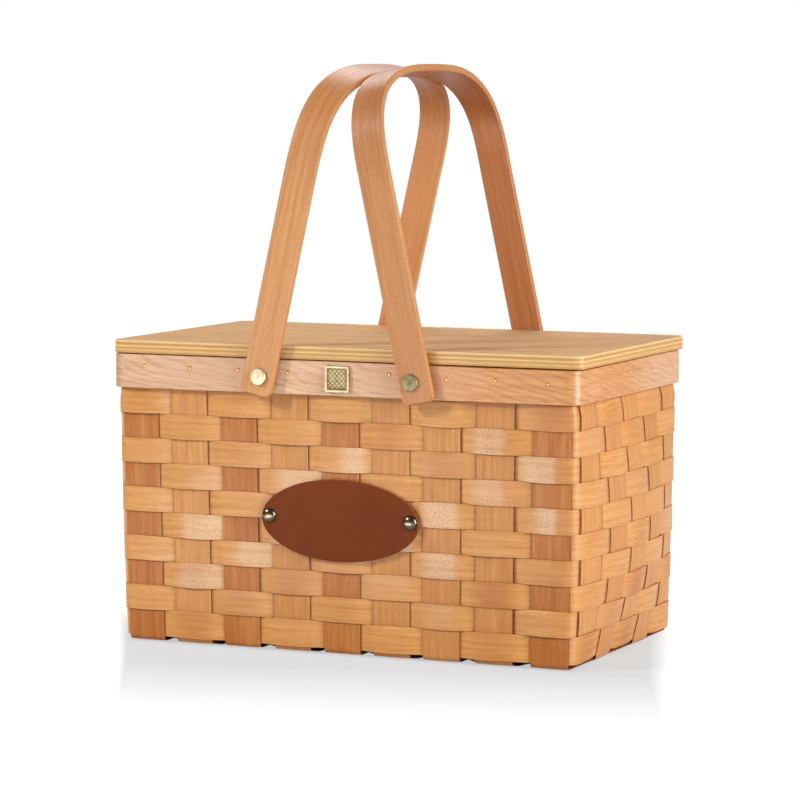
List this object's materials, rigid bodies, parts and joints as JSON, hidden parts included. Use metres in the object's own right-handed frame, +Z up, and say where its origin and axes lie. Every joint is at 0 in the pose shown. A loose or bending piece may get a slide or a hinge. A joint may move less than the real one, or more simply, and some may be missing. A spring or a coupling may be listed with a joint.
{
  "type": "picnic basket",
  "caption": "Rectangular woven splint picnic basket with a nailed bentwood rim, a hinged plywood lid and two swinging bentwood handles.",
  "frame": {"origin": "middle of the base, on the surface the basket stands on", "axes": "+Z up, +X to the right along the rim's length, -Y towards the front with the leather patch"},
  "size_m": [0.347, 0.225, 0.4004],
  "materials": {
    "weaver_splint": "satin lacquered wood splint, grain along the strip",
    "stake_splint": "satin stained wood splint, grain along the strip",
    "rim_wood": "satin lacquered bent wood strip",
    "lid_ply": "satin lacquered plywood with bare ply edges",
    "handle_wood": "satin lacquered bentwood",
    "saddle_leather": "smooth brown saddle leather",
    "brass": "pale antique brass"
  },
  "bodies": {
    "basket": {"back_left_handle_rivet": "brass", "back_left_handle_washer": "brass", "back_left_rivet_burr": "brass", "back_right_handle_rivet": "brass", "back_right_handle_washer": "brass", "back_right_rivet_burr": "brass", "badge": "brass", "front_left_handle_rivet": "brass", "front_left_handle_washer": "brass", "front_left_rivet_burr": "brass", "front_right_handle_rivet": "brass", "front_right_handle_washer": "brass", "front_right_rivet_burr": "brass", "front_stake_1": "stake_splint", "front_stake_2": "stake_splint", "front_stake_3": "stake_splint", "front_stake_4": "stake_splint", "front_stake_5": "stake_splint", "front_stake_6": "stake_splint", "front_stake_7": "stake_splint", "front_stake_8": "stake_splint", "front_stake_9": "stake_splint", "inner_rim": "rim_wood", "leather_patch": "saddle_leather", "left_hinge_pin": "brass", "left_hinge_rim_leaf": "brass", "left_patch_rivet": "brass", "outer_rim": "rim_wood", "right_hinge_pin": "brass", "right_hinge_rim_leaf": "brass", "right_patch_rivet": "brass", "side_stake_1": "stake_splint", "side_stake_2": "stake_splint", "side_stake_3": "stake_splint", "side_stake_4": "stake_splint", "side_stake_5": "stake_splint", "weaver_01": "weaver_splint", "weaver_02": "weaver_splint", "weaver_03": "weaver_splint", "weaver_04": "weaver_splint", "weaver_05": "weaver_splint", "weaver_06": "weaver_splint", "weaver_07": "weaver_splint", "weaver_08": "weaver_splint", "weaver_09": "weaver_splint", "weaver_10": "weaver_splint"},
    "lid": {"lid": "lid_ply", "left_hinge_lid_leaf": "brass", "right_hinge_lid_leaf": "brass"},
    "left_handle": {"left_handle": "handle_wood"},
    "right_handle": {"right_handle": "handle_wood"}
  },
  "joints": [
    {"name": "lid_hinge", "type": "hinge", "parent": "basket", "child": "lid", "pos_m": [0, 0.1038, 0.2083], "axis": [-1, 0, 0], "range_deg": [0, 58]},
    {"name": "left_handle_swing", "type": "hinge", "parent": "basket", "child": "left_handle", "pos_m": [-0.05588, 0, 0.18925], "axis": [0, -1, 0], "range_deg": [0, 150]},
    {"name": "right_handle_swing", "type": "hinge", "parent": "basket", "child": "right_handle", "pos_m": [0.05588, 0, 0.18925], "axis": [0, 1, 0], "range_deg": [0, 150]}
  ]
}
